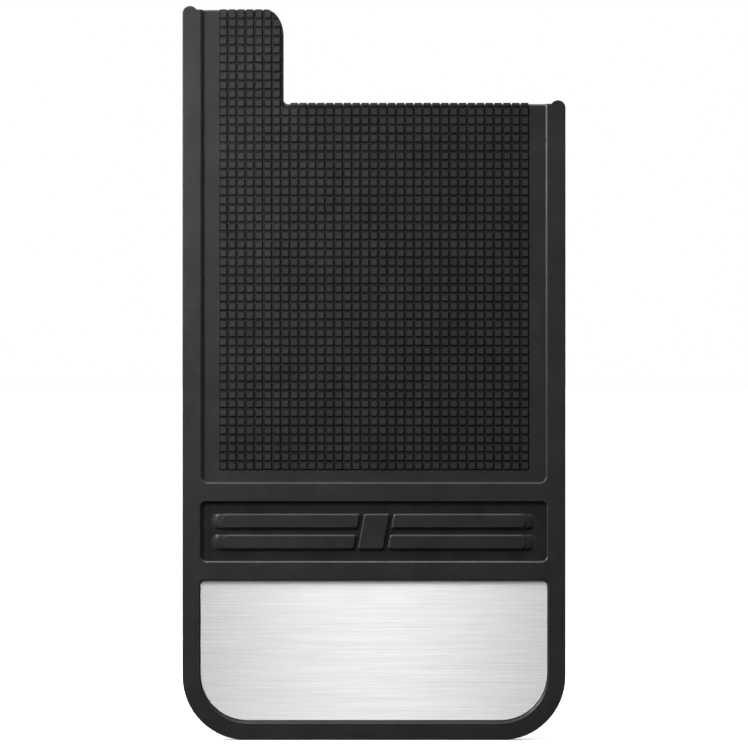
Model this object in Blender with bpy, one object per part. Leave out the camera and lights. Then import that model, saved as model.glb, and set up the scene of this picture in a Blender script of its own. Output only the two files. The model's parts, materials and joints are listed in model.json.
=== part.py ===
"""Mud flap: a moulded rubber flap with a block field, side rims, cross bars and a stainless face plate.

The flap hangs in the XZ plane with its front towards -Y and its back on the plane y = 0.
The origin lies on the back of the top band, mid-width, where the flap is clamped to its vehicle.
The rubber is cut into four lengths at three flex lines. Each lower length ends in a round nose
that turns in a socket of the length above it, so the chain of lengths bends as the sheet does.
"""
import math

import bmesh
import bpy
from mathutils import Vector

# Outline of the moulding. Heights are measured up from its bottom edge.
HALF_WIDTH = 0.1524
PANEL_TOP = 0.5064
TAB_TOP = 0.5814
TAB_RIGHT = -0.0720
BOTTOM_RADIUS = 0.0508
TAB_CORNER_WIDTH = 0.0143
TAB_CORNER_HEIGHT = 0.0207
TAB_FILLET = 0.0036
BEAD_RADIUS = 0.00605
BEAD_STAND_UP = 0.0028
MOUNT_BELOW_PANEL_TOP = 0.0207
ORIGIN_HEIGHT = PANEL_TOP - MOUNT_BELOW_PANEL_TOP

# Levels in front of the back plane.
RIM_DEPTH = 0.0080
WALL_CHAMFER = 0.0010
WALL_FOOT_DEPTH = RIM_DEPTH - WALL_CHAMFER
SHEET_DEPTH = 0.0045
BLOCK_DEPTH = 0.0055
BAR_DEPTH = 0.0068
PLATE_SEAT_DEPTH = 0.0048
PLATE_THICKNESS = 0.0015
GAP = 0.0003
CUT_MARGIN = 0.0010

# Field of blocks, carried here as one plain raised pad.
COLUMN_PITCH = 0.00706
ROW_PITCH = 0.00705
BLOCK_SIZE = 0.0057
BLOCK_COLUMNS = 35
FIELD_BOTTOM = 0.2154
FIELD_HALF_WIDTH = (BLOCK_COLUMNS - 1) * COLUMN_PITCH / 2 + BLOCK_SIZE / 2

# Recesses in the front: half width, bottom, top, lower radius, upper radius.
FIELD_CREST = (0.1375, 0.2044, 0.7000, 0.0060, 0.0010)
FIELD_FLOOR = (0.1367, 0.2053, 0.7000, 0.0044, 0.0010)
BADGE_CREST = (0.1383, 0.1415, 0.1900, 0.0050, 0.0044)
BADGE_FLOOR = (0.1374, 0.1424, 0.1894, 0.0042, 0.0038)
PLATE_CREST = (0.1389, 0.0133, 0.1275, 0.0384, 0.0044)
PLATE_FLOOR = (0.1385, 0.0153, 0.1273, 0.0380, 0.0042)

# Raised bars and the plain slanted pad between them, in the badge recess.
BADGE_MIDDLE = 0.1660
SLANT = 0.18
BAR_OUTER_END = 0.1297
BAR_INNER_END = 0.0132
BAR_HEIGHTS = ((0.1514, 0.1635), (0.1681, 0.1801))
BAR_END_RAMP = 0.0035
BAR_SIDE_RAMP = 0.0010
PAD_HALF_WIDTH = 0.0104
PAD_HEIGHTS = (0.1514, 0.1801)

# Flex lines: the height of each hinge, its round nose and the play in its socket.
FLEX_ROWS = (31, 16, 1)
GROOVE_MIDDLE = (ROW_PITCH + BLOCK_SIZE) / 2
FLEX_HEIGHTS = tuple(FIELD_BOTTOM + GROOVE_MIDDLE + row * ROW_PITCH for row in FLEX_ROWS)
FLEX_AXIS_Y = -RIM_DEPTH / 2
NOSE_RADIUS = 0.0041
SOCKET_PLAY = 0.0004

# Plate fasteners: M5 weld studs, wide washers and nylon-insert lock nuts.
STUD_PLACES = tuple((x, height) for height in (0.0400, 0.1050) for x in (-0.1080, 0.0, 0.1080))
STUD_RADIUS = 0.0025
STUD_FLANGE_RADIUS = 0.0033
STUD_FLANGE_THICKNESS = 0.0008
STUD_END_Y = 0.0084
STUD_CHAMFER = 0.0005
HOLE_RADIUS = STUD_RADIUS + GAP
COUNTERBORE_RADIUS = STUD_FLANGE_RADIUS + 2 * GAP
COUNTERBORE_DEPTH = STUD_FLANGE_THICKNESS + GAP
WASHER_RADIUS = 0.0100
WASHER_THICKNESS = 0.0012
NUT_FLATS = 0.0080
NUT_HEX_HEIGHT = 0.0032
NUT_COLLAR_HEIGHT = 0.0016
NUT_COLLAR_RADIUS = 0.0037
RING_RADIUS = 0.0033
RING_BORE = 0.0027
RING_THICKNESS = 0.0011

ARC_STEPS = 16
NOSE_STEPS = 14
ROUND_STEPS = 24


def clear_scene():
    """Remove whatever the file holds."""
    for thing in list(bpy.data.objects):
        bpy.data.objects.remove(thing, do_unlink=True)


def make_material(name, colour, roughness, metallic):
    """A Principled material with one colour."""
    material = bpy.data.materials.new(name)
    material.use_nodes = True
    shader = material.node_tree.nodes["Principled BSDF"]
    shader.inputs["Base Color"].default_value = (*colour, 1.0)
    shader.inputs["Roughness"].default_value = roughness
    shader.inputs["Metallic"].default_value = metallic
    material.diffuse_color = (*colour, 1.0)
    return material


def level(height):
    """World z of a height above the bottom edge."""
    return height - ORIGIN_HEIGHT


def arc(centre, radii, start_deg, end_deg, steps=ARC_STEPS):
    """Points of an elliptical arc in the (x, height) plane."""
    points = []
    for step in range(steps + 1):
        angle = math.radians(start_deg + (end_deg - start_deg) * step / steps)
        points.append((centre[0] + radii[0] * math.cos(angle), centre[1] + radii[1] * math.sin(angle)))
    return points


def bead_end(side, top):
    """Round end of a side rim, standing above the plain edge beside it."""
    centre = (side * (HALF_WIDTH - BEAD_RADIUS), top + BEAD_STAND_UP - BEAD_RADIUS)
    meets_edge = math.degrees(math.asin((BEAD_RADIUS - BEAD_STAND_UP) / BEAD_RADIUS))
    if side > 0:
        return arc(centre, (BEAD_RADIUS, BEAD_RADIUS), 0, 180 - meets_edge)
    return arc(centre, (BEAD_RADIUS, BEAD_RADIUS), meets_edge, 180)


def flap_outline():
    """Outline of the whole moulding, anticlockwise from its lower left."""
    radii = (BOTTOM_RADIUS, BOTTOM_RADIUS)
    inner_x = HALF_WIDTH - BOTTOM_RADIUS
    tab_radii = (TAB_CORNER_WIDTH, TAB_CORNER_HEIGHT)
    points = arc((-inner_x, BOTTOM_RADIUS), radii, 180, 270)
    points += arc((inner_x, BOTTOM_RADIUS), radii, 270, 360)
    points += bead_end(1, PANEL_TOP)
    points += arc((TAB_RIGHT + TAB_FILLET, PANEL_TOP + TAB_FILLET), (TAB_FILLET, TAB_FILLET), 270, 180, 6)
    points += arc((TAB_RIGHT - TAB_CORNER_WIDTH, TAB_TOP - TAB_CORNER_HEIGHT), tab_radii, 0, 90)
    points += bead_end(-1, TAB_TOP)
    return points


def rounded_box(half_width, bottom, top, lower_radius, upper_radius):
    """Rounded rectangle about x = 0 with its own lower and upper corner radii."""
    low = (lower_radius, lower_radius)
    high = (upper_radius, upper_radius)
    points = arc((-half_width + lower_radius, bottom + lower_radius), low, 180, 270)
    points += arc((half_width - lower_radius, bottom + lower_radius), low, 270, 360)
    points += arc((half_width - upper_radius, top - upper_radius), high, 0, 90)
    points += arc((-half_width + upper_radius, top - upper_radius), high, 90, 180)
    return points


def slanted_box(left, right, bottom, top):
    """Four-sided outline whose ends lean with the badge's slant."""
    low_shift = (bottom - BADGE_MIDDLE) * SLANT
    high_shift = (top - BADGE_MIDDLE) * SLANT
    return [(left + low_shift, bottom), (right + low_shift, bottom),
            (right + high_shift, top), (left + high_shift, top)]


def at_depth(outline, depth):
    """Lift an outline to world points at a depth in front of the back plane."""
    return [Vector((x, -depth, level(height))) for x, height in outline]


def extrapolate(floor, crest, fraction):
    """Outline beyond the crest, on the straight lines that join floor and crest."""
    return [(low[0] + (high[0] - low[0]) * fraction, low[1] + (high[1] - low[1]) * fraction)
            for low, high in zip(floor, crest)]


def loft(name, rings):
    """Closed solid through rings of equal length, capped at both ends."""
    mesh = bpy.data.meshes.new(name)
    builder = bmesh.new()
    loops = [[builder.verts.new(point) for point in ring] for ring in rings]
    count = len(rings[0])
    for near, far in zip(loops, loops[1:]):
        for index in range(count):
            following = (index + 1) % count
            builder.faces.new((near[index], near[following], far[following], far[index]))
    builder.faces.new(loops[0])
    builder.faces.new(loops[-1])
    bmesh.ops.recalc_face_normals(builder, faces=builder.faces)
    builder.to_mesh(mesh)
    builder.free()
    solid = bpy.data.objects.new(name, mesh)
    bpy.context.collection.objects.link(solid)
    return solid


def turned(name, x, height, profile, steps=ROUND_STEPS):
    """Solid turned about a line along Y through (x, height); profile holds (y, radius) pairs."""
    rings = []
    for y, radius in profile:
        ring = []
        for step in range(steps):
            angle = 2 * math.pi * step / steps
            ring.append(Vector((x + radius * math.cos(angle), y, level(height) + radius * math.sin(angle))))
        rings.append(ring)
    return loft(name, rings)


def boolean(target, cutter, operation):
    """Cut or join two solids and remove the cutter."""
    modifier = target.modifiers.new(operation.lower(), "BOOLEAN")
    modifier.operation = operation
    modifier.solver = "EXACT"
    modifier.object = cutter
    depsgraph = bpy.context.evaluated_depsgraph_get()
    result = bpy.data.meshes.new_from_object(target.evaluated_get(depsgraph))
    target.modifiers.remove(modifier)
    target.data = result
    bpy.data.objects.remove(cutter, do_unlink=True)


def recess_cutter(name, floor_box, crest_box, floor_depth, wall_foot_depth):
    """Cutter of a recess: upright from its floor to the wall's foot, then flared to the rim's crest."""
    floor = rounded_box(*floor_box)
    crest = rounded_box(*crest_box)
    beyond = 1 + CUT_MARGIN / (RIM_DEPTH - wall_foot_depth)
    rings = [at_depth(floor, floor_depth)]
    if wall_foot_depth > floor_depth:
        rings.append(at_depth(floor, wall_foot_depth))
    rings.append(at_depth(crest, RIM_DEPTH))
    rings.append(at_depth(extrapolate(floor, crest, beyond), RIM_DEPTH + CUT_MARGIN))
    return loft(name, rings)


def field_cutter():
    """Field recess, less the raised pad that stands for the blocks."""
    cutter = recess_cutter("field_cutter", FIELD_FLOOR, FIELD_CREST, SHEET_DEPTH, WALL_FOOT_DEPTH)
    above_tab = TAB_TOP + BOTTOM_RADIUS
    outline = [(-FIELD_HALF_WIDTH, FIELD_BOTTOM), (FIELD_HALF_WIDTH, FIELD_BOTTOM),
               (FIELD_HALF_WIDTH, above_tab), (-FIELD_HALF_WIDTH, above_tab)]
    pad = loft("pad", [at_depth(outline, SHEET_DEPTH - CUT_MARGIN), at_depth(outline, BLOCK_DEPTH)])
    boolean(cutter, pad, "DIFFERENCE")
    return cutter


def raised(name, foot, top):
    """Raised feature on the badge floor, drafted from its foot outline to its top outline."""
    return loft(name, [at_depth(foot, SHEET_DEPTH - CUT_MARGIN), at_depth(foot, SHEET_DEPTH),
                       at_depth(top, BAR_DEPTH)])


def bar(side, heights):
    """One raised bar, with a long ramp at its outer end."""
    bottom, top = heights
    inner = side * BAR_INNER_END
    outer = side * BAR_OUTER_END
    inner_low = inner + (bottom - BADGE_MIDDLE) * SLANT
    inner_high = inner + (top - BADGE_MIDDLE) * SLANT
    foot = [(inner_low, bottom), (outer, bottom), (outer, top), (inner_high, top)]
    drafted_inner = side * BAR_SIDE_RAMP
    drafted_outer = -side * BAR_END_RAMP
    low = bottom + BAR_SIDE_RAMP
    high = top - BAR_SIDE_RAMP
    crown = [(inner_low + drafted_inner, low), (outer + drafted_outer, low),
             (outer + drafted_outer, high), (inner_high + drafted_inner, high)]
    return raised("bar", foot, crown)


def badge_cutter():
    """Badge recess, less its four bars and the plain pad between them."""
    cutter = recess_cutter("badge_cutter", BADGE_FLOOR, BADGE_CREST, SHEET_DEPTH, WALL_FOOT_DEPTH)
    for side in (-1, 1):
        for heights in BAR_HEIGHTS:
            boolean(cutter, bar(side, heights), "DIFFERENCE")
    bottom, top = PAD_HEIGHTS
    foot = slanted_box(-PAD_HALF_WIDTH, PAD_HALF_WIDTH, bottom, top)
    crown = slanted_box(BAR_SIDE_RAMP - PAD_HALF_WIDTH, PAD_HALF_WIDTH - BAR_SIDE_RAMP,
                        bottom + BAR_SIDE_RAMP, top - BAR_SIDE_RAMP)
    boolean(cutter, raised("pad", foot, crown), "DIFFERENCE")
    return cutter


def whole_rubber():
    """The complete moulding, before it is cut at the flex lines."""
    outline = flap_outline()
    rubber = loft("rubber", [at_depth(outline, 0.0), at_depth(outline, RIM_DEPTH)])
    boolean(rubber, field_cutter(), "DIFFERENCE")
    boolean(rubber, badge_cutter(), "DIFFERENCE")
    seat = recess_cutter("seat_cutter", PLATE_FLOOR, PLATE_CREST, PLATE_SEAT_DEPTH, WALL_FOOT_DEPTH)
    boolean(rubber, seat, "DIFFERENCE")
    for x, height in STUD_PLACES:
        step_y = COUNTERBORE_DEPTH - PLATE_SEAT_DEPTH
        hole = turned("hole", x, height, [
            (-PLATE_SEAT_DEPTH - CUT_MARGIN, COUNTERBORE_RADIUS), (step_y, COUNTERBORE_RADIUS),
            (step_y, HOLE_RADIUS), (CUT_MARGIN, HOLE_RADIUS)])
        boolean(rubber, hole, "DIFFERENCE")
    return rubber


def socket_edge(height):
    """Lower edge of a length: (y, z) points over the top of its socket, front to back."""
    radius = NOSE_RADIUS + SOCKET_PLAY
    lip = math.degrees(math.acos(RIM_DEPTH / 2 / radius))
    points = arc((FLEX_AXIS_Y, level(height)), (radius, radius), 180 - lip, lip, NOSE_STEPS)
    lip_z = points[0][1]
    return [(-3 * RIM_DEPTH, lip_z)] + points + [(2 * RIM_DEPTH, lip_z)]


def nose_edge(height):
    """Upper edge of a length: (y, z) points over its round nose, front to back."""
    shoulder = math.degrees(math.acos(RIM_DEPTH / 2 / NOSE_RADIUS))
    radii = (NOSE_RADIUS, NOSE_RADIUS)
    points = arc((FLEX_AXIS_Y, level(height)), radii, 180 - shoulder, shoulder, NOSE_STEPS)
    shoulder_z = points[0][1]
    return [(-3 * RIM_DEPTH, shoulder_z)] + points + [(2 * RIM_DEPTH, shoulder_z)]


def flat_edge(height):
    """Straight edge beyond the moulding, for its first and last lengths."""
    return [(-3 * RIM_DEPTH, level(height)), (2 * RIM_DEPTH, level(height))]


def rubber_length(name, source, lower_edge, upper_edge, material):
    """Keep the stretch of the moulding between two edges."""
    length = bpy.data.objects.new(name, source.data.copy())
    bpy.context.collection.objects.link(length)
    section = lower_edge + upper_edge[::-1]
    beyond = HALF_WIDTH + BOTTOM_RADIUS
    rings = [[Vector((x, y, z)) for y, z in section] for x in (-beyond, beyond)]
    boolean(length, loft("keeper", rings), "INTERSECT")
    finish_piece(length, material)
    return length


def finish_piece(piece, material):
    """Give a piece its material and shade its round faces smooth."""
    piece.data.materials.clear()
    piece.data.materials.append(material)
    for face in piece.data.polygons:
        face.use_smooth = True
    piece.data.set_sharp_from_angle(angle=math.radians(30))


def make_lengths(material):
    """The four lengths of rubber, from the top down."""
    source = whole_rubber()
    names = ("mount_section_rubber", "upper_flap_rubber", "middle_flap_rubber", "lower_flap_rubber")
    below = -BOTTOM_RADIUS
    above = TAB_TOP + BOTTOM_RADIUS
    uppers = [flat_edge(above)] + [nose_edge(height) for height in FLEX_HEIGHTS]
    lowers = [socket_edge(height) for height in FLEX_HEIGHTS] + [flat_edge(below)]
    lengths = [rubber_length(name, source, lower, upper, material)
               for name, lower, upper in zip(names, lowers, uppers)]
    bpy.data.objects.remove(source, do_unlink=True)
    return lengths


def make_face_plate(material):
    """Stainless plate in its seat, a small gap inside the seat's wall."""
    half_width, bottom, top, lower_radius, upper_radius = PLATE_FLOOR
    outline = rounded_box(half_width - GAP, bottom + GAP, top - GAP, lower_radius - GAP, upper_radius - GAP)
    back = PLATE_SEAT_DEPTH + GAP
    plate = loft("face_plate", [at_depth(outline, back), at_depth(outline, back + PLATE_THICKNESS)])
    finish_piece(plate, material)
    return plate


def make_stud(number, x, height, material):
    """Weld stud: a thin flange against the plate and a threaded shank through the rubber."""
    start = -PLATE_SEAT_DEPTH
    flange_end = start + STUD_FLANGE_THICKNESS
    stud = turned(f"plate_stud_{number}", x, height, [
        (start, STUD_FLANGE_RADIUS), (flange_end, STUD_FLANGE_RADIUS), (flange_end, STUD_RADIUS),
        (STUD_END_Y - STUD_CHAMFER, STUD_RADIUS), (STUD_END_Y, STUD_RADIUS - STUD_CHAMFER)])
    finish_piece(stud, material)
    return stud


def make_washer(number, x, height, material):
    """Wide flat washer on the back of the rubber."""
    washer = turned(f"stud_washer_{number}", x, height,
                    [(GAP, WASHER_RADIUS), (GAP + WASHER_THICKNESS, WASHER_RADIUS)])
    hole = turned("hole", x, height,
                  [(-CUT_MARGIN, HOLE_RADIUS), (WASHER_THICKNESS + 2 * CUT_MARGIN, HOLE_RADIUS)])
    boolean(washer, hole, "DIFFERENCE")
    finish_piece(washer, material)
    return washer


def nut_start():
    """Where a nut's hexagon begins, a small gap off its washer."""
    return WASHER_THICKNESS + 2 * GAP


def make_nut(number, x, height, material):
    """Lock nut: a hexagon and a round collar that holds the nylon ring."""
    start = nut_start()
    hex_end = start + NUT_HEX_HEIGHT
    collar_end = hex_end + NUT_COLLAR_HEIGHT
    corner_radius = NUT_FLATS / math.sqrt(3)
    nut = turned(f"lock_nut_{number}", x, height, [(start, corner_radius), (hex_end, corner_radius)], 6)
    collar = turned("collar", x, height,
                    [(hex_end - CUT_MARGIN, NUT_COLLAR_RADIUS), (collar_end, NUT_COLLAR_RADIUS)])
    boolean(nut, collar, "UNION")
    pocket_start = collar_end - RING_THICKNESS - 2 * GAP
    bore = turned("bore", x, height, [
        (start - CUT_MARGIN, HOLE_RADIUS), (pocket_start, HOLE_RADIUS),
        (pocket_start, RING_RADIUS + GAP / 2), (collar_end + CUT_MARGIN, RING_RADIUS + GAP / 2)])
    boolean(nut, bore, "DIFFERENCE")
    finish_piece(nut, material)
    return nut


def make_ring(number, x, height, material):
    """Nylon ring in the mouth of a lock nut."""
    collar_end = nut_start() + NUT_HEX_HEIGHT + NUT_COLLAR_HEIGHT
    end = collar_end - GAP
    start = end - RING_THICKNESS
    ring = turned(f"nylon_ring_{number}", x, height, [(start, RING_RADIUS), (end, RING_RADIUS)])
    hole = turned("hole", x, height, [(start - CUT_MARGIN, RING_BORE), (end + CUT_MARGIN, RING_BORE)])
    boolean(ring, hole, "DIFFERENCE")
    finish_piece(ring, material)
    return ring


def make_pivots():
    """Empties on the hinge axes, each hung from the one above."""
    pivots = []
    for name, height in zip(("upper_pivot", "middle_pivot", "lower_pivot"), FLEX_HEIGHTS):
        pivot = bpy.data.objects.new(name, None)
        bpy.context.collection.objects.link(pivot)
        world = Vector((0.0, FLEX_AXIS_Y, level(height)))
        above = pivots[-1] if pivots else None
        pivot.parent = above[0] if above else None
        pivot.location = world - above[1] if above else world
        pivots.append((pivot, world))
    return pivots


def hang(piece, pivot):
    """Hang a piece from a pivot without moving it."""
    empty, world = pivot
    piece.parent = empty
    piece.location = -world


def main():
    """Build the flap and hang its lengths from their pivots."""
    clear_scene()
    rubber = make_material("rubber", (0.022, 0.022, 0.023), 0.62, 0.0)
    stainless = make_material("brushed_stainless", (0.62, 0.62, 0.61), 0.32, 1.0)
    zinc = make_material("zinc_plated_steel", (0.55, 0.56, 0.57), 0.38, 1.0)
    nylon = make_material("nylon", (0.75, 0.76, 0.78), 0.45, 0.0)
    lengths = make_lengths(rubber)
    end_pieces = [make_face_plate(stainless)]
    for number, (x, height) in enumerate(STUD_PLACES, start=1):
        end_pieces.append(make_stud(number, x, height, stainless))
        end_pieces.append(make_washer(number, x, height, zinc))
        end_pieces.append(make_nut(number, x, height, zinc))
        end_pieces.append(make_ring(number, x, height, nylon))
    pivots = make_pivots()
    for length, pivot in zip(lengths[1:], pivots):
        hang(length, pivot)
    for piece in end_pieces:
        hang(piece, pivots[-1])


main()
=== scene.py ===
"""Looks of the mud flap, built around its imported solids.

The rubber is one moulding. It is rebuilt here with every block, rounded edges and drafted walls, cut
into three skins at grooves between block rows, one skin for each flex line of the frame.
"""
import json
import math

import bmesh
import bpy
import numpy as np
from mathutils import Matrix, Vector


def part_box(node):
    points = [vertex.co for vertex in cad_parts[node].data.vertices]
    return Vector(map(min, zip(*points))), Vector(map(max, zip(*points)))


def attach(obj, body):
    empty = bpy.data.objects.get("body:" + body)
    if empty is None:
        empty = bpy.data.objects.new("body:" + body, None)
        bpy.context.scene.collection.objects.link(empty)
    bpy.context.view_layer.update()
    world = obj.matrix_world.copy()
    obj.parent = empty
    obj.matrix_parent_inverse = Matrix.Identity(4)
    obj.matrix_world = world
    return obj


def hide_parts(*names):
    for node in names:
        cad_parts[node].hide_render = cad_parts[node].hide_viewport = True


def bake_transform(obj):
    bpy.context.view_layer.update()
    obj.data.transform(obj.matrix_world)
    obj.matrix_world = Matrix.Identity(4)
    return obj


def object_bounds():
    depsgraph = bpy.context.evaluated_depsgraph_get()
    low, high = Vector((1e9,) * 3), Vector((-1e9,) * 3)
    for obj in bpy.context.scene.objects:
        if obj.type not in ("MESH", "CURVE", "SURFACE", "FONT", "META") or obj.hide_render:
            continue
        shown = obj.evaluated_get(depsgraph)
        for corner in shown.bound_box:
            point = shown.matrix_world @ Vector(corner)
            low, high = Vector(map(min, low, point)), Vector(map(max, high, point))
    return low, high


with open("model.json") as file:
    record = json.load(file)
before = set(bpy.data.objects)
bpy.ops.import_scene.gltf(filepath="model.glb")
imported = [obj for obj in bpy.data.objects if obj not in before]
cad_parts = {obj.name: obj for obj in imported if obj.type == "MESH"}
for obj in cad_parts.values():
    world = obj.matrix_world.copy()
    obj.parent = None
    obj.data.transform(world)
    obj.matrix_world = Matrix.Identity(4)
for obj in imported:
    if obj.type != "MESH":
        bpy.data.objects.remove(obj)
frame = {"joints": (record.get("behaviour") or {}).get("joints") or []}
cad_low, cad_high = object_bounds()

# Outline of the moulding: heights are measured up from its bottom edge, as in the solids.
HALF_WIDTH = cad_high.x
BOTTOM_Z = cad_low.z
RIM_TOP = cad_high.z - cad_low.z
PANEL_TOP = 0.5064
TAB_TOP = 0.5814
BEAD_STAND_UP = RIM_TOP - TAB_TOP
TAB_RIGHT = -0.0720
BOTTOM_RADIUS = 0.0508
TAB_CORNER = (0.0143, 0.0207)
TAB_FILLET = 0.0036
BEAD_RADIUS = 0.00605

# Levels in front of the back plane, and the rounding of the moulding's edges.
RIM_DEPTH = -cad_low.y
SHEET_DEPTH = 0.0045
BLOCK_DEPTH = 0.0055
BAR_DEPTH = 0.0068
RIM_ROUND = 0.0006
WALL_CHAMFER = 0.0010
LIP_ROUND = 0.0003
SHEET_ROUND = 0.0017
BACK_ROUND = 0.0004
EMBED = 0.0012
BEYOND = 0.0020

# Recesses: half width, bottom, top, lower corner radius, upper corner radius.
FIELD_CREST = (0.1375, 0.2044, 0.0055)
FIELD_FOOT = (0.1367, 0.2053, 0.0047)
BADGE_CREST = (0.1383, 0.1415, 0.1900, 0.0050, 0.0044)
BADGE_FOOT = (0.1374, 0.1424, 0.1894, 0.0042, 0.0038)
PLATE_CREST = (0.1389, 0.0133, 0.1275, 0.0384, 0.0044)
PLATE_FOOT = (0.1385, 0.0153, 0.1273, 0.0380, 0.0042)
PLATE_EDGE_ROUND = 0.0004
SEAT_GAP = 0.0003

# Bars and the plain pad of the badge recess.
BADGE_MIDDLE = 0.1660
SLANT = 0.18
BAR_OUTER_END = 0.1297
BAR_INNER_END = 0.0132
BAR_HEIGHTS = ((0.1514, 0.1635), (0.1681, 0.1801))
BAR_END_RAMP = 0.0090
BAR_DRAFT = 0.0001
BAR_CHAMFER = 0.0008
BAR_CORNER = 0.0022
BAR_OUTER_CORNER = 0.0056
BAR_ROUND = 0.0004
PAD_HALF_WIDTH = 0.0104
PAD_HEIGHTS = (0.1514, 0.1801)

# Blocks.
COLUMN_PITCH = 0.00706
ROW_PITCH = 0.00705
BLOCK_SIZE = 0.0060
BLOCK_COLUMNS = 35
BLOCK_ROWS = 52
BLOCK_DRAFT = 0.00035
BLOCK_ROUND = 0.00018
BLOCK_CORNER = 0.0010
FIELD_BOTTOM = 0.21525
TOOTH_STAND_UP = 0.0009
TAB_TOOTH_STAND_UP = 0.0004
SMALLEST_BLOCK = 1.5e-6
FOOT_CLEARANCE = 0.00002
# Closeness to the sheet's front and facing limits: they pick the badge floor, and the block sides and
# groove floor strips that take painted shade.
FLOOR_TOLERANCE = 0.0002
FRONT_FACING = 0.8
SIDE_FACING = 0.4

# Seams: the rows kept between a flex line and its seam.
SEAM_ROWS = 7

# Weld studs, washers and lock nuts.
STUD_RADIUS = 0.0025
STUD_CHAMFER = 0.0006
THREAD_PITCH = 0.0008
THREAD_DEPTH = 0.00042
THREAD_RUNOUT = 0.0009
THREAD_STEPS = 8
THREAD_SHARPNESS = 1.3
FLANGE_RADIUS = 0.0033
FLANGE_THICKNESS = 0.0008
HOLE_RADIUS = 0.0028
RUBBER_HOLE_RADIUS = 0.0029
COUNTERBORE_RADIUS = 0.0039
NUT_FLATS = 0.0080
NUT_COLLAR_RADIUS = 0.0037
NUT_HEX_HEIGHT = 0.0032
RING_POCKET_RADIUS = 0.0034
RING_POCKET_DEPTH = 0.0017
RING_BORE = 0.0027
EDGE_BREAK = 0.00015
FLANGE_BREAK = 0.0001

# How finely curves are divided, and the closeness at which a cut takes an existing point.
ARC_STEPS = 16
FINE_ARC_STEPS = 8
BLOCK_CORNER_STEPS = 2
ROUND_STEPS = 4
TURN_STEPS = 48
TURN_ANGLES = [2 * math.pi * step / TURN_STEPS for step in range(TURN_STEPS)]
CUT_CLOSENESS = 1e-7

# The moulding's finishes and its painted shade, in the order of its material slots.
GRAINED, SMOOTH, PAINTED_SHADE = range(3)


def z_of(height):
    """Row-frame z of a height above the bottom edge."""
    return BOTTOM_Z + height


# ---------------------------------------------------------------- outlines


def arc(centre, radii, start_deg, end_deg, steps=ARC_STEPS):
    """Points of an elliptical arc in the (x, height) plane."""
    points = []
    for step in range(steps + 1):
        angle = math.radians(start_deg + (end_deg - start_deg) * step / steps)
        points.append((centre[0] + radii[0] * math.cos(angle), centre[1] + radii[1] * math.sin(angle)))
    return points


def bead_end(side, top):
    """Round end of a side rim, standing above the plain edge beside it."""
    centre = (side * (HALF_WIDTH - BEAD_RADIUS), top + BEAD_STAND_UP - BEAD_RADIUS)
    meets_edge = math.degrees(math.asin((BEAD_RADIUS - BEAD_STAND_UP) / BEAD_RADIUS))
    radii = (BEAD_RADIUS, BEAD_RADIUS)
    if side > 0:
        return arc(centre, radii, 0, 180 - meets_edge)
    return arc(centre, radii, meets_edge, 180)


def rim_outline(inner_half, bar_top, corner):
    """Outline of both side rims with everything below the field, anticlockwise."""
    outer = (BOTTOM_RADIUS, BOTTOM_RADIUS)
    inner = (corner, corner)
    inner_x = HALF_WIDTH - BOTTOM_RADIUS
    points = arc((-inner_x, BOTTOM_RADIUS), outer, 180, 270)
    points += arc((inner_x, BOTTOM_RADIUS), outer, 270, 360)
    points += bead_end(1, PANEL_TOP) + [(inner_half, PANEL_TOP)]
    points += arc((inner_half - corner, bar_top + corner), inner, 360, 270)
    points += arc((-inner_half + corner, bar_top + corner), inner, 270, 180)
    points += [(-inner_half, TAB_TOP)] + bead_end(-1, TAB_TOP)
    return points


def sheet_outline():
    """Outline of the thin sheet: its sides and bottom lie inside the rims."""
    side = HALF_WIDTH - 1.2 * BEAD_RADIUS
    bottom = FIELD_FOOT[1] - BEAD_RADIUS
    points = [(-side, bottom), (side, bottom), (side, PANEL_TOP)]
    points += arc((TAB_RIGHT + TAB_FILLET, PANEL_TOP + TAB_FILLET), (TAB_FILLET, TAB_FILLET), 270, 180,
                  FINE_ARC_STEPS)
    points += arc((TAB_RIGHT - TAB_CORNER[0], TAB_TOP - TAB_CORNER[1]), TAB_CORNER, 0, 90)
    points.append((-side, TAB_TOP))
    return points


def rounded_box(half_width, bottom, top, lower_radius, upper_radius):
    """Rounded rectangle about x = 0 with its own lower and upper corner radii."""
    low = (lower_radius, lower_radius)
    high = (upper_radius, upper_radius)
    points = arc((-half_width + lower_radius, bottom + lower_radius), low, 180, 270)
    points += arc((half_width - lower_radius, bottom + lower_radius), low, 270, 360)
    points += arc((half_width - upper_radius, top - upper_radius), high, 0, 90)
    points += arc((-half_width + upper_radius, top - upper_radius), high, 90, 180)
    return points


def inset(outline, distance):
    """Move an anticlockwise outline inwards, keeping its points one to one."""
    points = np.array(outline)
    before = points - np.roll(points, 1, axis=0)
    after = np.roll(points, -1, axis=0) - points
    before /= np.linalg.norm(before, axis=1)[:, None]
    after /= np.linalg.norm(after, axis=1)[:, None]
    left_before = np.stack([-before[:, 1], before[:, 0]], axis=1)
    left_after = np.stack([-after[:, 1], after[:, 0]], axis=1)
    share = 1 + (left_before * left_after).sum(axis=1)
    moved = points + distance * (left_before + left_after) / share[:, None]
    return [tuple(point) for point in moved]


def round_corners(corners, radii, steps):
    """Replace each corner of a convex outline by a curve of its own radius."""
    points = []
    count = len(corners)
    for index, (corner, radius) in enumerate(zip(corners, radii)):
        here = Vector(corner)
        start = here + (Vector(corners[index - 1]) - here).normalized() * radius
        end = here + (Vector(corners[(index + 1) % count]) - here).normalized() * radius
        for step in range(steps + 1):
            t = step / steps
            points.append(tuple(start * (1 - t) ** 2 + here * 2 * t * (1 - t) + end * t ** 2))
    return points


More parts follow.
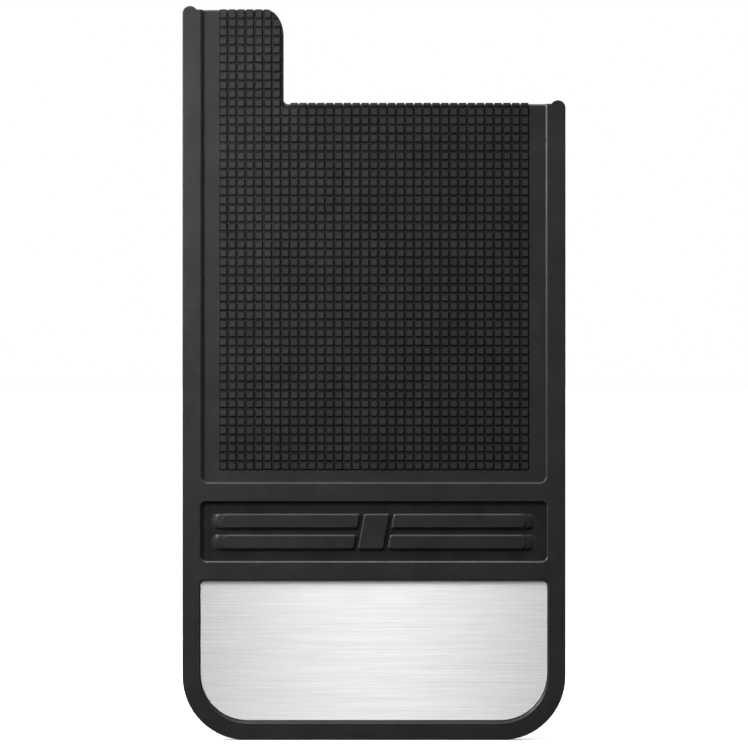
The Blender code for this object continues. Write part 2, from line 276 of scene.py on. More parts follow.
def clip(outline, edge_start, edge_end):
    """Keep the part of a convex outline to the left of a line."""
    kept = []
    origin = Vector(edge_start)
    along = Vector(edge_end) - origin
    sides = [along.x * (y - origin.y) - along.y * (x - origin.x) for x, y in outline]
    for index, point in enumerate(outline):
        before = outline[index - 1]
        side_before = sides[index - 1]
        side = sides[index]
        if side * side_before < 0:
            t = side_before / (side_before - side)
            kept.append((before[0] + (point[0] - before[0]) * t, before[1] + (point[1] - before[1]) * t))
        if side >= 0:
            kept.append(point)
    return kept


def area_of(outline):
    """Signed area of an outline."""
    return sum(a[0] * b[1] - b[0] * a[1] for a, b in zip(outline, outline[1:] + outline[:1])) / 2


# ---------------------------------------------------------------- solids


def ring_at(outline, depth):
    """Lift an outline to points at a depth in front of the back plane."""
    return [(x, -depth, z_of(height)) for x, height in outline]


def new_piece(name, points, faces):
    """Mesh object from points and faces."""
    mesh = bpy.data.meshes.new(name)
    mesh.from_pydata(points, [], faces)
    mesh.validate()
    piece = bpy.data.objects.new(name, mesh)
    bpy.context.collection.objects.link(piece)
    return piece


def lofted(rings, first=0):
    """Points and faces of a closed solid through rings of equal length."""
    count = len(rings[0])
    points = [point for ring in rings for point in ring]
    faces = []
    for level in range(len(rings) - 1):
        for index in range(count):
            following = (index + 1) % count
            low = first + level * count
            faces.append((low + following, low + index, low + count + index, low + count + following))
    faces.append(tuple(first + index for index in range(count)))
    top = first + (len(rings) - 1) * count
    faces.append(tuple(top + index for index in reversed(range(count))))
    return points, faces


def outward(piece):
    """Turn a closed piece's faces to point out."""
    builder = bmesh.new()
    builder.from_mesh(piece.data)
    bmesh.ops.recalc_face_normals(builder, faces=builder.faces)
    builder.to_mesh(piece.data)
    builder.free()
    return piece


def loft(name, rings):
    """Closed solid through rings, with its faces pointing out."""
    return outward(new_piece(name, *lofted(rings)))


def around(centre, radius, angle, y):
    """Point at a radius and an angle about a line along Y through centre (x, z)."""
    return (centre[0] + radius * math.cos(angle), y, centre[1] + radius * math.sin(angle))


def hexagon(angle, radius):
    """Radius of a turned point after a hexagon across the nut's flats is cut from it."""
    off_flat = (angle + math.pi / 6) % (math.pi / 3) - math.pi / 6
    return min(radius, NUT_FLATS / 2 / math.cos(off_flat))


def revolve(name, profile, centre, shape=None):
    """Ring-shaped solid: a closed (y, radius) profile turned about a line along Y through centre."""
    points = []
    faces = []
    count = len(profile)
    for step, angle in enumerate(TURN_ANGLES):
        for y, radius in profile:
            turned_radius = shape(angle, radius) if shape else radius
            points.append(around(centre, turned_radius, angle, y))
        here = step * count
        beside = (step + 1) % TURN_STEPS * count
        for index in range(count):
            following = (index + 1) % count
            faces.append((here + index, beside + index, beside + following, here + following))
    return outward(new_piece(name, points, faces))


def turned(name, profile, centre):
    """Solid turned about a line along Y through centre; profile holds (y, radius) pairs."""
    rings = []
    for y, radius in profile:
        rings.append([around(centre, radius, angle, y) for angle in TURN_ANGLES])
    return loft(name, rings)


def combine(target, tool, operation):
    """Cut or join two closed solids and remove the tool."""
    modifier = target.modifiers.new(operation.lower(), "BOOLEAN")
    modifier.operation = operation
    modifier.solver = "MANIFOLD"
    modifier.object = tool
    depsgraph = bpy.context.evaluated_depsgraph_get()
    result = bpy.data.meshes.new_from_object(target.evaluated_get(depsgraph))
    target.modifiers.remove(modifier)
    target.data = result
    bpy.data.objects.remove(tool, do_unlink=True)


def rounded_rings(outline, depth, radius):
    """Rings that round the edge between an outline's wall and its front at a depth."""
    rings = []
    for step in range(ROUND_STEPS + 1):
        angle = math.pi / 2 * step / ROUND_STEPS
        ring = inset(outline, radius * (1 - math.cos(angle)))
        rings.append(ring_at(ring, depth - radius + radius * math.sin(angle)))
    return rings


def make_rims():
    """Side rims, cross bars and the heavy lower end, still without recesses."""
    crest = rim_outline(*FIELD_CREST)
    foot = rim_outline(*FIELD_FOOT)
    rings = [ring_at(inset(foot, BACK_ROUND), 0.0), ring_at(foot, BACK_ROUND)]
    rings.append(ring_at(foot, RIM_DEPTH - WALL_CHAMFER))
    rings += rounded_rings(crest, RIM_DEPTH, RIM_ROUND)
    return loft("rims", rings)


def make_sheet():
    """Thin sheet that carries the blocks."""
    outline = sheet_outline()
    rings = [ring_at(inset(outline, BACK_ROUND), 0.0), ring_at(outline, BACK_ROUND)]
    rings += rounded_rings(outline, SHEET_DEPTH, SHEET_ROUND)
    return loft("sheet", rings)


def recess(floor_depth, foot_depth, foot_box, crest_box):
    """Cutter of a recess: upright to the wall's foot, chamfered to the crest, with a softened lip."""
    foot = rounded_box(*foot_box)
    crest = rounded_box(*crest_box)
    rings = [ring_at(foot, floor_depth), ring_at(foot, foot_depth)]
    rings.append(ring_at(inset(crest, LIP_ROUND / 2), RIM_DEPTH - LIP_ROUND))
    rings.append(ring_at(inset(crest, -LIP_ROUND / 4), RIM_DEPTH - LIP_ROUND / 4))
    rings.append(ring_at(inset(crest, -LIP_ROUND), RIM_DEPTH))
    rings.append(ring_at(inset(crest, -LIP_ROUND), RIM_DEPTH + BEYOND))
    return loft("recess", rings)


def raised(outlines):
    """Raised feature on the badge floor, through outlines at its foot, its shoulder and its crown."""
    foot, shoulder, crown = outlines
    rings = [ring_at(foot, SHEET_DEPTH - EMBED), ring_at(foot, SHEET_DEPTH)]
    rings.append(ring_at(shoulder, BAR_DEPTH - BAR_CHAMFER))
    rings += rounded_rings(crown, BAR_DEPTH, BAR_ROUND)
    return loft("raised", rings)


def lean(height):
    """Sideways shift of the badge's slanted ends at a height."""
    return (height - BADGE_MIDDLE) * SLANT


def bar_outline(side, heights, shrink, ramp):
    """Outline of a bar drawn in by a margin on its sides and by a ramp at its outer end."""
    low = heights[0] + shrink
    high = heights[1] - shrink
    inner = side * (BAR_INNER_END + shrink)
    outer = side * (BAR_OUTER_END - ramp)
    corners = [(inner + lean(low), low), (outer, low), (outer, high), (inner + lean(high), high)]
    radii = [BAR_CORNER - shrink, BAR_OUTER_CORNER - shrink, BAR_OUTER_CORNER - shrink, BAR_CORNER - shrink]
    if side < 0:
        corners = corners[::-1]
        radii = radii[::-1]
    return round_corners(corners, radii, ARC_STEPS // 2)


def bar(side, heights):
    """One raised bar, with a long ramp at its outer end and a slanted inner end."""
    steps = ((0.0, 0.0), (BAR_DRAFT, BAR_END_RAMP / 2), (BAR_DRAFT + BAR_CHAMFER, BAR_END_RAMP))
    return raised([bar_outline(side, heights, shrink, ramp) for shrink, ramp in steps])


def middle_pad():
    """Plain slanted pad between the bars."""
    outlines = []
    for shrink in (0.0, BAR_DRAFT, BAR_DRAFT + BAR_CHAMFER):
        half = PAD_HALF_WIDTH - shrink
        low = PAD_HEIGHTS[0] + shrink
        high = PAD_HEIGHTS[1] - shrink
        corners = [(lean(low) - half, low), (lean(low) + half, low)]
        corners += [(lean(high) + half, high), (lean(high) - half, high)]
        outlines.append(round_corners(corners, [BAR_CORNER - shrink] * 4, ARC_STEPS // 2))
    return raised(outlines)


def stud_centres():
    """Centre (x, z) of each weld stud, from the solids."""
    centres = []
    for number in range(1, 7):
        low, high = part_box(f"plate_stud_{number}")
        centres.append(((low.x + high.x) / 2, (low.z + high.z) / 2))
    return centres


def tab_clip_lines():
    """Lines that bound the tab's blocks: its right side, its round corner and its top."""
    radii = (TAB_CORNER[0] - TAB_TOOTH_STAND_UP, TAB_CORNER[1] + TAB_TOOTH_STAND_UP)
    edge = arc((TAB_RIGHT - TAB_CORNER[0], TAB_TOP - TAB_CORNER[1]), radii, 0, 90, FINE_ARC_STEPS)
    edge = [(edge[0][0], PANEL_TOP)] + edge + [(-HALF_WIDTH, edge[-1][1])]
    return list(zip(edge, edge[1:]))


TAB_CLIP = tab_clip_lines()


def block_outline(column, row):
    """Outline of one block, clipped to the moulding, or None where it has no room."""
    left = (column - (BLOCK_COLUMNS - 1) / 2) * COLUMN_PITCH - BLOCK_SIZE / 2
    right = left + BLOCK_SIZE
    bottom = FIELD_BOTTOM + row * ROW_PITCH
    top = bottom + BLOCK_SIZE
    on_tab = left < TAB_RIGHT
    reach = TAB_TOP + TAB_TOOTH_STAND_UP if on_tab else PANEL_TOP + TOOTH_STAND_UP
    if 0 < reach - top < ROW_PITCH - BLOCK_SIZE:
        top = reach
    corners = [(left, bottom), (right, bottom), (right, top), (left, top)]
    outline = round_corners(corners, [BLOCK_CORNER] * 4, BLOCK_CORNER_STEPS)
    bounds = TAB_CLIP if on_tab else [((HALF_WIDTH, reach), (-HALF_WIDTH, reach))]
    if top > PANEL_TOP:
        for start, end in bounds:
            outline = clip(outline, start, end)
            if len(outline) < 3:
                return None
    return outline if area_of(outline) > SMALLEST_BLOCK else None


def make_blocks():
    """Every block as one object of closed solids, their feet sunk in the sheet."""
    points = []
    faces = []
    for row in range(BLOCK_ROWS):
        for column in range(BLOCK_COLUMNS):
            outline = block_outline(column, row)
            if outline is None:
                continue
            sink = 2 * EMBED if len(outline) < 12 else EMBED
            rings = [ring_at(outline, SHEET_DEPTH - sink), ring_at(outline, SHEET_DEPTH),
                     ring_at(inset(outline, BLOCK_DRAFT), BLOCK_DEPTH - BLOCK_ROUND),
                     ring_at(inset(outline, BLOCK_DRAFT + BLOCK_ROUND), BLOCK_DEPTH)]
            block_points, block_faces = lofted(rings, len(points))
            points += block_points
            faces += block_faces
    return new_piece("blocks", points, faces)


def make_moulding():
    """The whole moulding as one closed solid."""
    rubber = make_rims()
    combine(rubber, make_sheet(), "UNION")
    plate_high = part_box("face_plate")[1]
    seat_depth = -plate_high.y - SEAT_GAP
    chamfer_start = RIM_DEPTH - WALL_CHAMFER
    combine(rubber, recess(SHEET_DEPTH, chamfer_start, BADGE_FOOT, BADGE_CREST), "DIFFERENCE")
    combine(rubber, recess(seat_depth, chamfer_start, PLATE_FOOT, PLATE_CREST), "DIFFERENCE")
    for side in (-1, 1):
        for heights in BAR_HEIGHTS:
            combine(rubber, bar(side, heights), "UNION")
    combine(rubber, middle_pad(), "UNION")
    step_y = FLANGE_THICKNESS + SEAT_GAP - seat_depth
    for centre in stud_centres():
        hole = [(-RIM_DEPTH, COUNTERBORE_RADIUS), (step_y, COUNTERBORE_RADIUS)]
        hole += [(step_y, RUBBER_HOLE_RADIUS), (BEYOND, RUBBER_HOLE_RADIUS)]
        combine(rubber, turned("hole", hole, centre), "DIFFERENCE")
    slice_at(rubber, groove_planes())
    combine(rubber, make_blocks(), "UNION")
    return rubber


def flex_heights():
    """Frame z of the three flex lines, from the top down."""
    return sorted((joint["pos_m"][2] for joint in frame["joints"]), reverse=True)


def slice_at(piece, planes):
    """Cut edge loops across a piece at (point, normal) planes."""
    builder = bmesh.new()
    builder.from_mesh(piece.data)
    for point, normal in planes:
        geometry = builder.verts[:] + builder.edges[:] + builder.faces[:]
        bmesh.ops.bisect_plane(builder, geom=geometry, dist=CUT_CLOSENESS, plane_co=point, plane_no=normal)
    builder.to_mesh(piece.data)
    builder.free()


def groove_planes():
    """Planes through the middle of every groove, and along the right and lower side of every block."""
    planes = []
    side = BLOCK_SIZE / 2 + FOOT_CLEARANCE
    # The planes along each block's right and lower side bound the strips of painted shade on the groove
    # floor.
    for column in range(BLOCK_COLUMNS + 1):
        middle = (column - BLOCK_COLUMNS / 2) * COLUMN_PITCH
        planes.append(((middle, 0, 0), (1, 0, 0)))
        planes.append(((middle - COLUMN_PITCH / 2 + side, 0, 0), (1, 0, 0)))
    for row in range(BLOCK_ROWS + 1):
        middle = z_of(FIELD_BOTTOM + BLOCK_SIZE / 2 + (row - 0.5) * ROW_PITCH)
        planes.append(((0, 0, middle), (0, 0, 1)))
        planes.append(((0, 0, middle + ROW_PITCH / 2 - side), (0, 0, 1)))
    return planes


def keep_between(piece, low_z, high_z):
    """Cut a piece off flat at two heights in the frame and close it."""
    builder = bmesh.new()
    builder.from_mesh(piece.data)
    for z, normal in ((low_z, -1), (high_z, 1)):
        geometry = builder.verts[:] + builder.edges[:] + builder.faces[:]
        cut = bmesh.ops.bisect_plane(builder, geom=geometry, dist=CUT_CLOSENESS, plane_co=(0, 0, z),
                                     plane_no=(0, 0, normal), clear_outer=True)["geom_cut"]
        rim = [item for item in cut if isinstance(item, bmesh.types.BMEdge) and item.is_boundary]
        if rim:
            bmesh.ops.contextual_create(builder, geom=rim)
    bmesh.ops.recalc_face_normals(builder, faces=builder.faces)
    builder.to_mesh(piece.data)
    builder.free()


def smooth(piece, angle_deg=40):
    """Smooth shading with sharp edges kept, weighted so that flat faces stay flat."""
    piece.data.shade_smooth()
    piece.data.set_sharp_from_angle(angle=math.radians(angle_deg))
    modifier = piece.modifiers.new("weighted normals", "WEIGHTED_NORMAL")
    modifier.keep_sharp = True


def finish_or_painted_shade_of(face):
    """Which of the moulding's finishes a face has, or whether it takes painted shade.

    The badge floor is smooth. Block sides that face down or right, and the strip of groove floor beside
    them, take painted shade: a much darker, less glossy rubber that stands in for the shade falling there.
    """
    x, y, z = face.center
    on_floor = abs(y + SHEET_DEPTH) < FLOOR_TOLERANCE
    if on_floor and z_of(BADGE_FOOT[1] - RIM_ROUND) < z < z_of(BADGE_FOOT[2] + RIM_ROUND):
        return SMOOTH
    across = x / COLUMN_PITCH + BLOCK_COLUMNS / 2
    up = (z - z_of(FIELD_BOTTOM + BLOCK_SIZE / 2)) / ROW_PITCH + 0.5
    if not 0 < across < BLOCK_COLUMNS or up <= 0:
        return GRAINED
    beside = (across % 1 - 0.5) * COLUMN_PITCH > BLOCK_SIZE / 2
    below = (0.5 - up % 1) * ROW_PITCH > BLOCK_SIZE / 2
    on_side = -BLOCK_DEPTH < y < -SHEET_DEPTH and abs(face.normal.y) < FRONT_FACING
    faces_away = face.normal.z < -SIDE_FACING or face.normal.x > SIDE_FACING
    return PAINTED_SHADE if on_floor and (beside or below) or on_side and faces_away else GRAINED


def make_skins(materials):
    """Cut the moulding at two grooves into three skins, one for each flex line."""
    moulding = make_moulding()
    moulding.data.materials.clear()
    for material in materials:
        moulding.data.materials.append(material)
    for face in moulding.data.polygons:
        face.material_index = finish_or_painted_shade_of(face)
    lines = flex_heights()
    seams = [cad_high.z + BEYOND] + [z - SEAM_ROWS * ROW_PITCH for z in lines[:-1]] + [cad_low.z - BEYOND]
    nodes = [["mount_section_rubber"], ["upper_flap_rubber"], ["middle_flap_rubber", "lower_flap_rubber"]]
    for index, line in enumerate(lines):
        skin = moulding.copy()
        skin.data = moulding.data.copy()
        skin.name = f"rubber_skin_{index + 1}"
        bpy.context.collection.objects.link(skin)
        keep_between(skin, seams[index + 1], seams[index])
        smooth(skin)
        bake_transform(skin)
        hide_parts(*nodes[index])
    bpy.data.objects.remove(moulding, do_unlink=True)


# ---------------------------------------------------------------- plate and its fasteners


def finish_part(piece, name, material, node):
    """Name a rigid piece of the weighted end and let it stand for its solid."""
    piece.name = name
    piece.data.materials.append(material)
    smooth(piece)
    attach(piece, "weighted_end")
    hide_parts(node)


def make_face_plate(material):
    """Stainless plate with a softly rounded front edge."""
    low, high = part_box("face_plate")
    bottom = low.z - BOTTOM_Z
    top = high.z - BOTTOM_Z
    outline = rounded_box(high.x, bottom, top, PLATE_FOOT[3] - SEAT_GAP, PLATE_FOOT[4] - SEAT_GAP)
    back = -high.y
    rings = [ring_at(inset(outline, BACK_ROUND / 2), back), ring_at(outline, back + BACK_ROUND / 2)]
    rings += rounded_rings(outline, -low.y, PLATE_EDGE_ROUND)
    finish_part(loft("plate", rings), "steel_face_plate", material, "face_plate")


def thread_radius(angle, along, length):
    """Radius of a rolled thread at an angle and a distance from its free end."""
    phase = (along / THREAD_PITCH + angle / (2 * math.pi)) % 1
    crest = STUD_RADIUS - THREAD_DEPTH * abs(2 * phase - 1) ** THREAD_SHARPNESS
    chamfer = STUD_RADIUS - STUD_CHAMFER + along
    if along > length - THREAD_RUNOUT:
        return STUD_RADIUS
    return min(crest, chamfer)


def make_stud(number, centre, material):
    """Weld stud: a flange on the plate's back and a threaded shank."""
    low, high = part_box(f"plate_stud_{number}")
    shank_start = low.y + FLANGE_THICKNESS
    length = high.y - shank_start
    steps = math.ceil(length / THREAD_PITCH * THREAD_STEPS)
    rings = []
    flange = [(low.y, FLANGE_RADIUS), (shank_start - FLANGE_BREAK, FLANGE_RADIUS)]
    flange.append((shank_start, FLANGE_RADIUS - FLANGE_BREAK))
    for y, radius in flange:
        rings.append([around(centre, radius, angle, y) for angle in TURN_ANGLES])
    for step in range(steps + 1):
        y = shank_start + length * step / steps
        ring = []
        for angle in TURN_ANGLES:
            ring.append(around(centre, thread_radius(angle, high.y - y, length), angle, y))
        rings.append(ring)
    piece = loft("stud", rings)
    finish_part(piece, f"weld_stud_{number}", material, f"plate_stud_{number}")


def make_washer(number, centre, material):
    """Flat washer with broken edges."""
    low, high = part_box(f"stud_washer_{number}")
    radius = (high.x - low.x) / 2
    profile = [(low.y, HOLE_RADIUS), (low.y, radius - EDGE_BREAK), (low.y + EDGE_BREAK, radius)]
    profile += [(high.y - EDGE_BREAK, radius), (high.y, radius - EDGE_BREAK)]
    profile += [(high.y, HOLE_RADIUS + EDGE_BREAK), (high.y - EDGE_BREAK, HOLE_RADIUS)]
    piece = revolve("washer", profile, centre)
    finish_part(piece, f"flat_washer_{number}", material, f"stud_washer_{number}")


def make_nut(number, centre, material):
    """Lock nut: chamfered hexagon, and a collar rolled in over the nylon ring."""
    low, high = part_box(f"lock_nut_{number}")
    corner = NUT_FLATS / math.sqrt(3)
    chamfer = (corner - NUT_FLATS / 2) / 2
    hex_end = low.y + NUT_HEX_HEIGHT
    pocket = high.y - RING_POCKET_DEPTH
    lip = RING_POCKET_RADIUS - EDGE_BREAK
    flat = NUT_FLATS / 2 - EDGE_BREAK
    collar = NUT_COLLAR_RADIUS
    body = [(low.y, HOLE_RADIUS + EDGE_BREAK), (low.y, flat), (low.y + chamfer, corner)]
    body += [(hex_end - chamfer, corner), (hex_end, flat)]
    outside = [(hex_end, collar + EDGE_BREAK), (hex_end + EDGE_BREAK, collar)]
    outside += [(high.y - 4 * EDGE_BREAK, collar), (high.y - EDGE_BREAK, collar - EDGE_BREAK)]
    outside.append((high.y, collar - 2 * EDGE_BREAK))
    inside = [(high.y - EDGE_BREAK / 2, lip), (high.y - 2 * EDGE_BREAK, lip)]
    inside += [(high.y - 3 * EDGE_BREAK, RING_POCKET_RADIUS), (pocket, RING_POCKET_RADIUS)]
    inside += [(pocket, HOLE_RADIUS), (low.y + EDGE_BREAK, HOLE_RADIUS)]
    piece = revolve("nut", body + outside + inside, centre, hexagon)
    finish_part(piece, f"hex_lock_nut_{number}", material, f"lock_nut_{number}")


def make_ring(number, centre, material):
    """Nylon locking ring with rounded edges."""
    low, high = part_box(f"nylon_ring_{number}")
    radius = (high.x - low.x) / 2
    profile = [(low.y, RING_BORE + EDGE_BREAK), (low.y, radius - EDGE_BREAK), (low.y + EDGE_BREAK, radius)]
    profile += [(high.y - 2 * EDGE_BREAK, radius - EDGE_BREAK / 2), (high.y, radius - 3 * EDGE_BREAK / 2)]
    profile += [(high.y, RING_BORE + EDGE_BREAK), (high.y - EDGE_BREAK, RING_BORE)]
    profile.append((low.y + EDGE_BREAK, RING_BORE))
    piece = revolve("ring", profile, centre)
    finish_part(piece, f"locking_ring_{number}", material, f"nylon_ring_{number}")


# ---------------------------------------------------------------- materials


# Places of the colour sockets of a Mix node, which shares their names among its data types.
MIX_COLOUR_A = 6
MIX_COLOUR_B = 7
MIX_COLOUR_RESULT = 2


class Shader:
    """Small helper for building a node material around one Principled BSDF."""

    def __init__(self, name):
        self.material = bpy.data.materials.new(name)
        self.material.use_nodes = True
        self.tree = self.material.node_tree
        self.surface = self.tree.nodes["Principled BSDF"]
        self.place = self.tree.nodes.new("ShaderNodeTexCoord").outputs["Object"]

    def constants(self, **values):
        """Set sockets of the surface that are the same all over."""
        for name, value in values.items():
            self.surface.inputs[name.replace("_", " ")].default_value = value

    def noise(self, scale, detail=4.0, roughness=0.55, stretch=(1, 1, 1)):
        """Noise of so many features per metre."""
        mapping = self.tree.nodes.new("ShaderNodeMapping")
        mapping.inputs["Scale"].default_value = stretch
        self.tree.links.new(self.place, mapping.inputs["Vector"])
        noise = self.tree.nodes.new("ShaderNodeTexNoise")
        noise.inputs["Scale"].default_value = scale
        noise.inputs["Detail"].default_value = detail
        noise.inputs["Roughness"].default_value = roughness
        self.tree.links.new(mapping.outputs["Vector"], noise.inputs["Vector"])
        return noise.outputs["Fac"]

    def ramp(self, value, low, high, from_low=0.3, from_high=0.7):
        """Map a texture value to a range."""
        spread = self.tree.nodes.new("ShaderNodeMapRange")
        spread.inputs["From Min"].default_value = from_low
        spread.inputs["From Max"].default_value = from_high
        spread.inputs["To Min"].default_value = low
        spread.inputs["To Max"].default_value = high
        self.tree.links.new(value, spread.inputs["Value"])
        return spread.outputs["Result"]

    def colour(self, value, dark, light):
        """Colour between two, driven by a value from 0 to 1."""
        mix = self.tree.nodes.new("ShaderNodeMix")
        mix.data_type = "RGBA"
        mix.inputs[MIX_COLOUR_A].default_value = (*dark, 1)
        mix.inputs[MIX_COLOUR_B].default_value = (*light, 1)
        self.tree.links.new(value, mix.inputs["Factor"])
        return mix.outputs[MIX_COLOUR_RESULT]

    def bump(self, layers):
        """Stack of bumps: each layer is a height, its depth in metres and its strength."""
        normal = None
        for height, depth, strength in layers:
            bump = self.tree.nodes.new("ShaderNodeBump")
            bump.inputs["Distance"].default_value = depth
            bump.inputs["Strength"].default_value = strength
            self.tree.links.new(height, bump.inputs["Height"])
            if normal:
                self.tree.links.new(normal, bump.inputs["Normal"])
            normal = bump.outputs["Normal"]
        self.link(normal, "Normal")

    def link(self, value, socket):
        """Connect a value to a socket of the surface."""
        self.tree.links.new(value, self.surface.inputs[socket])


def rubber_material(name, roughness, spread, specular, grain_depth, darkest=0.010):
    """Black rubber: mould grain, faint flow marks and an uneven sheen."""
    shader = Shader(name)
    shader.constants(Metallic=0.0, IOR=1.48, Specular_IOR_Level=specular)
    mottle = shader.ramp(shader.noise(38, 6, 0.6), 0, 1)
    shader.link(shader.colour(mottle, (darkest, darkest, 1.03 * darkest),
                              (1.6 * darkest, 1.6 * darkest, 1.63 * darkest)), "Base Color")
    shader.link(shader.ramp(shader.noise(160, 5, 0.6), roughness - spread, roughness + spread), "Roughness")
    grain = shader.noise(1900, 3, 0.6)
    waves = shader.noise(120, 3, 0.5)
    shader.bump([(waves, 0.0004, 0.25), (grain, grain_depth, 0.5)])
    return shader.material


def brushed_material():
    """Stainless steel brushed along the width: long fine streaks and stretched highlights."""
    shader = Shader("brushed steel")
    shader.constants(Metallic=1.0, Anisotropic=1.0, Anisotropic_Rotation=0.25)
    streaks = shader.noise(1600, 5, 0.8, (0.010, 1, 1))
    broad = shader.noise(140, 4, 0.6, (0.03, 1, 1))
    tone = shader.ramp(streaks, 0, 1)
    shader.link(shader.colour(tone, (0.60, 0.60, 0.60), (0.82, 0.82, 0.82)), "Base Color")
    shader.link(shader.ramp(broad, 0.41, 0.48), "Roughness")
    shader.bump([(streaks, 0.00002, 0.35)])
    return shader.material


def steel_material(name, base, tint, rough):
    """Small steel parts: faint mottling and uneven gloss."""
    shader = Shader(name)
    shader.constants(Metallic=1.0)
    cloud = shader.ramp(shader.noise(700, 4, 0.6), 0, 1)
    shader.link(shader.colour(cloud, base, tint), "Base Color")
    shader.link(shader.ramp(shader.noise(1500, 3, 0.5), rough, rough + 0.15), "Roughness")
    shader.bump([(shader.noise(4000, 3, 0.5), 0.00001, 0.3)])
    return shader.material


def nylon_material():
    """Natural nylon: milky, slightly translucent to the eye."""
    shader = Shader("nylon")
    shader.constants(Metallic=0.0, IOR=1.53, Subsurface_Weight=0.2, Subsurface_Scale=0.001)
    cloud = shader.ramp(shader.noise(900, 3, 0.5), 0, 1)
    shader.link(shader.colour(cloud, (0.70, 0.72, 0.73), (0.80, 0.81, 0.82)), "Base Color")
    shader.link(shader.ramp(shader.noise(2500, 2, 0.5), 0.35, 0.5), "Roughness")
    return shader.material


def stage_material():
    """Plain pale floor with a barely visible grain."""
    shader = Shader("studio floor")
    shader.constants(Metallic=0.0, Specular_IOR_Level=0.2)
    cloud = shader.ramp(shader.noise(3, 3, 0.5), 0, 1)
    shader.link(shader.colour(cloud, (0.88, 0.88, 0.88), (0.90, 0.90, 0.90)), "Base Color")
    shader.link(shader.ramp(shader.noise(40, 3, 0.5), 0.6, 0.7), "Roughness")
    return shader.material


# ---------------------------------------------------------------- stage, light and camera

FLOOR_HALF = 80.0
CAMERA_DISTANCE = 3.2
CAMERA_DROP = 0.0008
FRAME_FILL = 0.9817
SENSOR = 36.0
SWEEP_TURN = (0.05, 0.5)
SWEEP_LEVEL = 1.0
FRONT_LEVEL = 0.24
CEILING_TURN = (0.6, 0.95)
CEILING_LEVEL = 2.6
HORIZON_TURN = (-0.05, 0.0)
AIM = (0.0, 0.0, -0.19)
LIGHTS = (
    ("key", (0.0, -0.8, 2.2), (0.3, 0.6), 26.0),
    ("high fill", (0.0, -1.2, 2.2), (0.4, 1.6), 15.0),
    ("left", (-0.50, -0.45, 0.08), (0.2, 0.2), 6.5),
    ("side", (-1.6, -0.5, 0.3), (0.3, 0.3), 12.0),
    ("front", (0.0, -3.8, 0.0), (1.3, 0.94), 3.3),
)


def make_stage():
    """Plain pale floor under the flap's lower edge."""
    z = cad_low.z
    corners = [(-FLOOR_HALF, -FLOOR_HALF, z), (FLOOR_HALF, -FLOOR_HALF, z), (FLOOR_HALF, FLOOR_HALF, z),
               (-FLOOR_HALF, FLOOR_HALF, z)]
    floor = new_piece("floor", corners, [(0, 1, 2, 3)])
    floor.data.materials.append(stage_material())
    floor.visible_diffuse = False
    floor.visible_glossy = False


def area_light(name, place, target, size, power):
    """Soft rectangular light aimed at a point."""
    light = bpy.data.lights.new(name, "AREA")
    light.shape = "RECTANGLE"
    light.size, light.size_y = size
    light.energy = power
    lamp = bpy.data.objects.new(name, light)
    lamp.location = place
    lamp.rotation_euler = (Vector(target) - Vector(place)).to_track_quat("-Z", "Y").to_euler()
    bpy.context.collection.objects.link(lamp)


def blend_by(tree, value, start, end, low, high):
    """Socket that goes smoothly from low to high as a value goes from start to end."""
    falloff = tree.nodes.new("ShaderNodeMapRange")
    falloff.interpolation_type = "SMOOTHSTEP"
    falloff.inputs["From Min"].default_value = start
    falloff.inputs["From Max"].default_value = end
    falloff.inputs["To Min"].default_value = low
    falloff.inputs["To Max"].default_value = high
    tree.links.new(value, falloff.inputs["Value"])
    return falloff.outputs["Result"]


def combine_values(tree, operation, first, second):
    """Socket that holds the sum or product of two sockets."""
    node = tree.nodes.new("ShaderNodeMath")
    node.operation = operation
    tree.links.new(first, node.inputs[0])
    tree.links.new(second, node.inputs[1])
    return node.outputs["Value"]


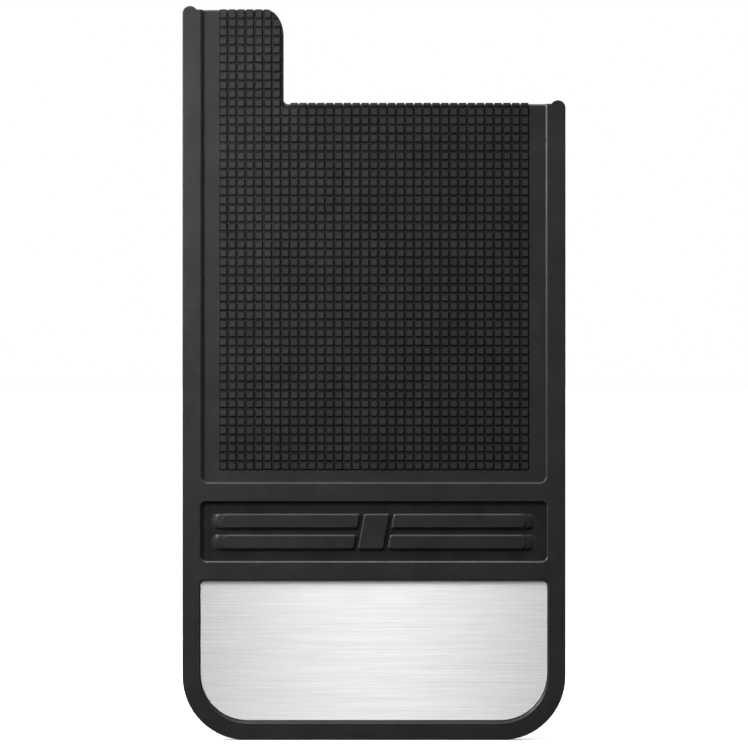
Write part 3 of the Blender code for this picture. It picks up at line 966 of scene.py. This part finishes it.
def make_surround():
    """White sweep behind the flap, dim studio in front of it, bright soft ceiling, nothing from below."""
    world = bpy.data.worlds.new("surround")
    world.use_nodes = True
    tree = world.node_tree
    direction = tree.nodes.new("ShaderNodeTexCoord").outputs["Generated"]
    split = tree.nodes.new("ShaderNodeSeparateXYZ")
    tree.links.new(direction, split.inputs["Vector"])
    sweep = blend_by(tree, split.outputs["Y"], *SWEEP_TURN, FRONT_LEVEL, SWEEP_LEVEL)
    ceiling = blend_by(tree, split.outputs["Z"], *CEILING_TURN, 0.0, CEILING_LEVEL)
    above = blend_by(tree, split.outputs["Z"], *HORIZON_TURN, 0.0, 1.0)
    brightness = combine_values(tree, "MULTIPLY", combine_values(tree, "ADD", sweep, ceiling), above)
    background = tree.nodes["Background"]
    background.inputs["Color"].default_value = (1, 1, 1, 1)
    tree.links.new(brightness, background.inputs["Strength"])
    bpy.context.scene.world = world


def make_lights():
    """Two steep lights from above, a near and a far one on the left, and one behind the camera."""
    for name, place, size, power in LIGHTS:
        area_light(name, place, AIM, size, power)


def make_camera(middle):
    """Camera square on to the flap, level with its middle."""
    camera = bpy.data.cameras.new("camera")
    camera.type = "PERSP"
    camera.sensor_width = SENSOR
    seen_height = (cad_high.z - cad_low.z) / FRAME_FILL
    distance = CAMERA_DISTANCE + cad_low.y
    camera.lens = SENSOR * distance / seen_height
    camera.clip_start = 0.01
    holder = bpy.data.objects.new("camera", camera)
    holder.location = (middle.x, -CAMERA_DISTANCE, middle.z - CAMERA_DROP)
    holder.rotation_euler = (math.pi / 2, 0, 0)
    bpy.context.collection.objects.link(holder)
    bpy.context.scene.camera = holder


def main():
    middle = (cad_low + cad_high) / 2
    make_camera(middle)
    make_stage()
    make_surround()
    make_lights()
    grained = rubber_material("grained rubber", 0.43, spread=0.07, specular=0.34, grain_depth=0.00004)
    smoother = rubber_material("smooth rubber", 0.26, spread=0.02, specular=0.12, grain_depth=0.00001)
    # Painted shade: a much darker, less glossy rubber for block sides facing down or right and the groove
    # floor strips beside them.
    painted_shade_rubber = rubber_material("painted shade rubber", 0.60, spread=0.05, specular=0.04, grain_depth=0.00002,
                           darkest=0.0012)
    make_skins((grained, smoother, painted_shade_rubber))
    make_face_plate(brushed_material())
    stud_steel = steel_material("stainless stud", (0.50, 0.50, 0.49), (0.62, 0.61, 0.60), 0.25)
    zinc = steel_material("zinc plate", (0.55, 0.57, 0.60), (0.70, 0.71, 0.72), 0.22)
    nylon = nylon_material()
    for number, centre in enumerate(stud_centres(), 1):
        make_stud(number, centre, stud_steel)
        make_washer(number, centre, zinc)
        make_nut(number, centre, zinc)
        make_ring(number, centre, nylon)
    bpy.context.scene.view_settings.view_transform = "Standard"


main()
